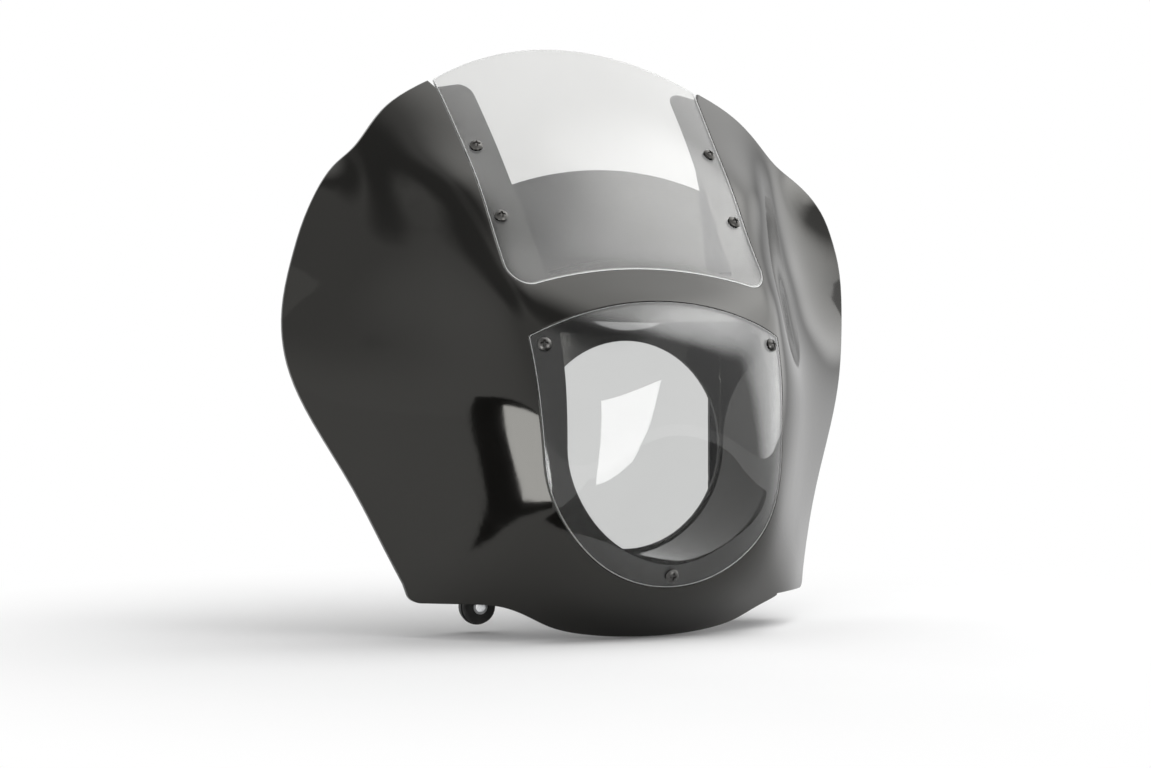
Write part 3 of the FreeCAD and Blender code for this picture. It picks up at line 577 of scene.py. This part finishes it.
def screw_profile():
    """Domed head with fine rings for the recess, then a threaded shank."""
    profile = []
    for i in range(HEAD_RINGS + 1):
        radius = AXIS_RADIUS + (HEAD_RADIUS - AXIS_RADIUS) * i / HEAD_RINGS
        fall = (radius / HEAD_RADIUS) ** DOME_POWER
        profile.append((radius, HEAD_HIGH * (1 - DOME_FALL * fall)))
    profile += [(HEAD_RADIUS, HEAD_RIM_HIGH), (HEAD_RADIUS - HEAD_RIM_CUT, 0), (SCREW_RADIUS, 0)]
    turns = int((SCREW_LONG - PLAIN_SHANK) / THREAD_PITCH)
    for turn in range(turns):
        height = -PLAIN_SHANK - turn * THREAD_PITCH
        profile += [(SCREW_RADIUS, height), (SCREW_RADIUS - THREAD_DEEP, height - THREAD_PITCH / 2)]
    profile += [(SCREW_RADIUS - THREAD_DEEP, -SCREW_LONG), (AXIS_RADIUS, -SCREW_LONG)]
    return profile


def recess(place):
    """Presses a cross with sloping walls into the dome."""
    if place.z < RECESS_LOWEST:
        return place
    longer = max(abs(place.x), abs(place.y))
    shorter = min(abs(place.x), abs(place.y))
    beside = np.clip((SLOT_HALF_WIDE + SLOT_SIDE_MARGIN - shorter) / SLOT_SIDE_SLOPE, 0, 1)
    beyond = np.clip((SLOT_HALF_LONG + SLOT_END_MARGIN - longer) / SLOT_END_SLOPE, 0, 1)
    return Vector((place.x, place.y, place.z - SLOT_DEEP * beside * beyond))


def skin_placements(places):
    """Placements on the skin whose local Z points out along its normal."""
    x, z = np.array(places, dtype=float).T
    depths = skin(x, z)
    outward = layer_normals(x, z, level(0))
    placements = []
    for i in range(len(places)):
        axis = Vector(outward[i])
        spot = Vector((x[i], depths[i], z[i])) + axis * SEAT_GAP
        stance = axis.to_track_quat("Z", "Y").to_matrix().to_4x4()
        placements.append(Matrix.Translation(spot) @ stance)
    return placements


screw_pattern = spun(screw_profile(), SCREW_SEGMENTS, recess)
for node, places, finish, slot in (
    ("windscreen_screws", SCREEN_SCREWS, dark_steel, "dark_steel"),
    ("lens_screws", LENS_SCREWS, bright_steel, "bright_steel"),
):
    screw_mesh = set_out("cross_" + node, screw_pattern, skin_placements(places))
    add_piece("cross_" + node, screw_mesh, [finish], node)

# Rubber mounts, in millimetres: two flanges with a groove for the bracket between them
GROMMET_SEGMENTS = 72
GROMMET_RADIUS = 14
GROMMET_NECK_RADIUS = 9.95
GROMMET_BORE_RADIUS = 6.05
GROMMET_HALF_LONG = 7
GROOVE_HALF_WIDE = 1.55
GROOVE_LIP = 0.4
FLANGE_ROUND = 2.0
FLANGE_STEPS = 8
FORK_HALF_SPAN = 112
BRACKET_MIDDLE = 49.5
UPPER_MOUNT_HEIGHT = 95
LOWER_MOUNT_HEIGHT = -132


def grommet_profile():
    """Two rounded flanges with a groove between them and a bore, from the rear to the front."""
    half = [(GROMMET_BORE_RADIUS, GROMMET_HALF_LONG)]
    for i in range(FLANGE_STEPS + 1):
        turn = math.pi / 2 * i / FLANGE_STEPS
        radius = GROMMET_RADIUS - FLANGE_ROUND * (1 - math.sin(turn))
        height = GROMMET_HALF_LONG - FLANGE_ROUND * (1 - math.cos(turn))
        half.append((radius, height))
    half.append((GROMMET_RADIUS, GROOVE_HALF_WIDE + GROOVE_LIP))
    half.append((GROMMET_RADIUS - GROOVE_LIP, GROOVE_HALF_WIDE))
    half.append((GROMMET_NECK_RADIUS, GROOVE_HALF_WIDE))
    return half + [(radius, -height) for radius, height in reversed(half)]


def rearward(height):
    """Placements on both mounts at one height, with local Z towards the rear."""
    turn = Matrix.Rotation(-math.pi / 2, 4, "X")
    spots = [(side * FORK_HALF_SPAN, BRACKET_MIDDLE, height) for side in (1, -1)]
    return [Matrix.Translation(spot) @ turn for spot in spots]


grommet_pattern = spun(list(reversed(grommet_profile())), GROMMET_SEGMENTS)
for node, height in (("upper_grommets", UPPER_MOUNT_HEIGHT), ("lower_grommets", LOWER_MOUNT_HEIGHT)):
    grommet_mesh = set_out("rubber_" + node, grommet_pattern, rearward(height))
    add_piece("rubber_" + node, grommet_mesh, [rubber], node)

# Solids that keep their own mesh
FINISHES = {
    "left_bracket": bracket_black,
    "right_bracket": bracket_black,
    "windscreen_washers": zinc,
    "windscreen_nuts": zinc,
    "lens_washers": zinc,
    "lens_nuts": zinc,
    "mount_sleeves": zinc,
    "bracket_washers": zinc,
    "bracket_bolts": zinc,
    "bracket_inserts": brass,
}
for node, finish in FINISHES.items():
    NODES[node].data.materials.clear()
    NODES[node].data.materials.append(finish)

# Camera, in metres and degrees
CAMERA_PLACE = (-0.9266, -1.8710, 0.0700)
AIM_TURN = math.radians(-25.19)
AIM_TILT = math.radians(0.56)
ROLL = math.radians(0.11)
camera_data = bpy.data.cameras.new("camera")
camera_data.sensor_fit = "HORIZONTAL"
camera_data.sensor_width = 36.0
camera_data.lens = 79.9
camera = add_object("camera", camera_data)


def direction(turn, rise):
    """Unit vector at a bearing from the front towards the right, and at a height above the level."""
    return Vector((math.sin(turn) * math.cos(rise), -math.cos(turn) * math.cos(rise), math.sin(rise)))


backward = direction(AIM_TURN, AIM_TILT)
rightward = Vector((0, 0, 1)).cross(backward).normalized()
upward = backward.cross(rightward)
axes = Matrix((rightward, upward, backward)).transposed().to_4x4()
camera.matrix_world = Matrix.Translation(CAMERA_PLACE) @ axes @ Matrix.Rotation(ROLL, 4, "Z")
bpy.context.scene.camera = camera

# Floor, in metres: white, with the object's own shadow near it, and plain white further out
FLOOR_HEIGHT = -0.1531
FLOOR_HALF = 12.0
SHADOW_FADES_FROM = 0.30
SHADOW_GONE_AT = 0.75


def floor_white():
    """Matt white near the object, fading to a plain white glow."""
    material, tree, shader = new_material("floor_white")
    shader.inputs["Roughness"].default_value = 0.9
    shader.inputs["Specular IOR Level"].default_value = 0.0
    tint(tree, noise(tree, 3), shader.inputs["Base Color"], (0.90, 0.90, 0.90), (0.92, 0.92, 0.92))
    where = tree.nodes.new("ShaderNodeTexCoord")
    distance = tree.nodes.new("ShaderNodeVectorMath")
    distance.operation = "LENGTH"
    fade = tree.nodes.new("ShaderNodeMapRange")
    fade.interpolation_type = "SMOOTHSTEP"
    fade.inputs["From Min"].default_value = SHADOW_FADES_FROM
    fade.inputs["From Max"].default_value = SHADOW_GONE_AT
    plain = tree.nodes.new("ShaderNodeEmission")
    plain.inputs["Strength"].default_value = 1.0
    tree.links.new(where.outputs["Object"], distance.inputs[0])
    tree.links.new(distance.outputs["Value"], fade.inputs["Value"])
    surface = mixed(tree, fade.outputs["Result"], shader.outputs["BSDF"], plain.outputs["Emission"])
    tree.links.new(surface, tree.nodes["Material Output"].inputs["Surface"])
    return material


def flat_sheet(name, corners, material):
    """A flat four-sided sheet that belongs to the studio."""
    mesh = bpy.data.meshes.new(name)
    mesh.from_pydata(corners, [], [(0, 1, 2, 3)])
    mesh.materials.append(material)
    return add_object(name, mesh)


floor_corners = [(x * FLOOR_HALF, y * FLOOR_HALF, FLOOR_HEIGHT)
                 for x, y in ((-1, -1), (1, -1), (1, 1), (-1, 1))]
floor = flat_sheet("floor", floor_corners, floor_white())


# Studio light: soft boxes, and a room whose walls glow unevenly as the reflections show it
def soft_box(name, place, target, width, height, radiance):
    """A soft box of one brightness, turned towards a place."""
    light = bpy.data.lights.new(name, "AREA")
    light.shape = "RECTANGLE"
    light.size = width
    light.size_y = height
    light.energy = radiance * math.pi * width * height
    box = add_object(name, light)
    box.location = place
    box.rotation_euler = (Vector(target) - Vector(place)).to_track_quat("-Z", "Y").to_euler()
    box.visible_camera = False
    return box


overhead_box = soft_box("overhead_box", place=(0.85, -0.35, 1.45), target=(0.2, 0, 0),
                        width=1.7, height=1.5, radiance=2.2)
overhead_box.visible_glossy = False
overhead_box.visible_transmission = False
front_box = soft_box("front_box", place=(0.10, -0.78, 0.06), target=(0, 0, 0.03),
                     width=0.40, height=0.36, radiance=5.0)
left_box = soft_box("left_box", place=(-0.4245, -0.217, -0.030), target=(-0.12, -0.045, -0.02),
                    width=0.13, height=0.16, radiance=8.0)
for box in (front_box, left_box):
    box.visible_diffuse = False

# Dark cards that only show in reflections: one lies in front, one stands to the left
CARD_FOOT = FLOOR_HEIGHT + 0.003
FRONT_CARD = [(-0.40, -0.22, CARD_FOOT), (-0.40, -1.6, CARD_FOOT),
              (1.00, -1.6, CARD_FOOT), (1.00, -0.22, CARD_FOOT)]
LEFT_CARD = [(-0.553, -0.120, CARD_FOOT), (-0.460, -0.317, CARD_FOOT),
             (-0.460, -0.317, 0.062), (-0.553, -0.120, 0.085)]


def card_dark():
    """Dull dark card."""
    material, tree, shader = new_material("card_dark")
    tint(tree, noise(tree, 4), shader.inputs["Base Color"], (0.02, 0.02, 0.02), (0.05, 0.05, 0.05))
    shader.inputs["Roughness"].default_value = 1.0
    shader.inputs["Specular IOR Level"].default_value = 0.0
    return material


card_material = card_dark()
for name, corners in (("front_card", FRONT_CARD), ("left_card", LEFT_CARD)):
    card = flat_sheet(name, corners, card_material)
    card.visible_camera = False
    card.visible_diffuse = False
    card.visible_transmission = False
    card.visible_shadow = False

# The room: its even part, then patches that are added to it, each with a bearing from the front
# towards the right, a height above the level, an inner and an outer angle, and a strength
ROOM_BASE = 0.75
ROOM_GLOWS = [
    (88, 12, 6, 28, 2.5),
    (96, 62, 18, 42, 1.8),
    (66, 48, 8, 24, 2.3),
    (-62, 54, 8, 22, -0.48),
    (5, 60, 6, 22, -0.50),
    (-95, -5, 15, 55, 0.30),
    (165, 0, 40, 70, 0.25),
]
ROOM_FOR_CAMERA = 1.0
ROOM_FOR_DIFFUSE = 0.6


def glow(tree, ways, bearing, height, inner, outer, strength):
    """A soft patch of the room: full within one angle of a direction and gone at a wider one."""
    towards = tree.nodes.new("ShaderNodeVectorMath")
    towards.operation = "DOT_PRODUCT"
    towards.inputs[1].default_value = direction(math.radians(bearing), math.radians(height))
    patch = tree.nodes.new("ShaderNodeMapRange")
    patch.interpolation_type = "SMOOTHSTEP"
    patch.inputs["From Min"].default_value = math.cos(math.radians(outer))
    patch.inputs["From Max"].default_value = math.cos(math.radians(inner))
    patch.inputs["To Min"].default_value = 0.0
    patch.inputs["To Max"].default_value = strength
    tree.links.new(ways, towards.inputs[0])
    tree.links.new(towards.outputs["Value"], patch.inputs["Value"])
    return patch.outputs["Result"]


def instead(tree, ray, usual, value):
    """A number that is swapped for another one where a kind of ray asks."""
    choice = tree.nodes.new("ShaderNodeMix")
    choice.data_type = "FLOAT"
    choice.inputs["B"].default_value = value
    tree.links.new(ray, choice.inputs["Factor"])
    tree.links.new(usual, choice.inputs["A"])
    return choice.outputs["Result"]


def studio_room():
    """A white room whose brightness follows the patches in reflections."""
    world = bpy.data.worlds.new("studio")
    world.use_nodes = True
    tree = world.node_tree
    ways = tree.nodes.new("ShaderNodeTexCoord").outputs["Generated"]
    brightness = None
    for patch in ROOM_GLOWS:
        total = tree.nodes.new("ShaderNodeMath")
        total.operation = "ADD"
        total.inputs[1].default_value = ROOM_BASE
        tree.links.new(glow(tree, ways, *patch), total.inputs[0])
        if brightness:
            tree.links.new(brightness, total.inputs[1])
        brightness = total.outputs["Value"]
    rays = tree.nodes.new("ShaderNodeLightPath").outputs
    brightness = instead(tree, rays["Is Camera Ray"], brightness, ROOM_FOR_CAMERA)
    brightness = instead(tree, rays["Is Diffuse Ray"], brightness, ROOM_FOR_DIFFUSE)
    background = tree.nodes["Background"]
    background.inputs["Color"].default_value = (1, 1, 1, 1)
    tree.links.new(brightness, background.inputs["Strength"])
    return world


bpy.context.scene.world = studio_room()
bpy.context.scene.view_settings.view_transform = "Standard"
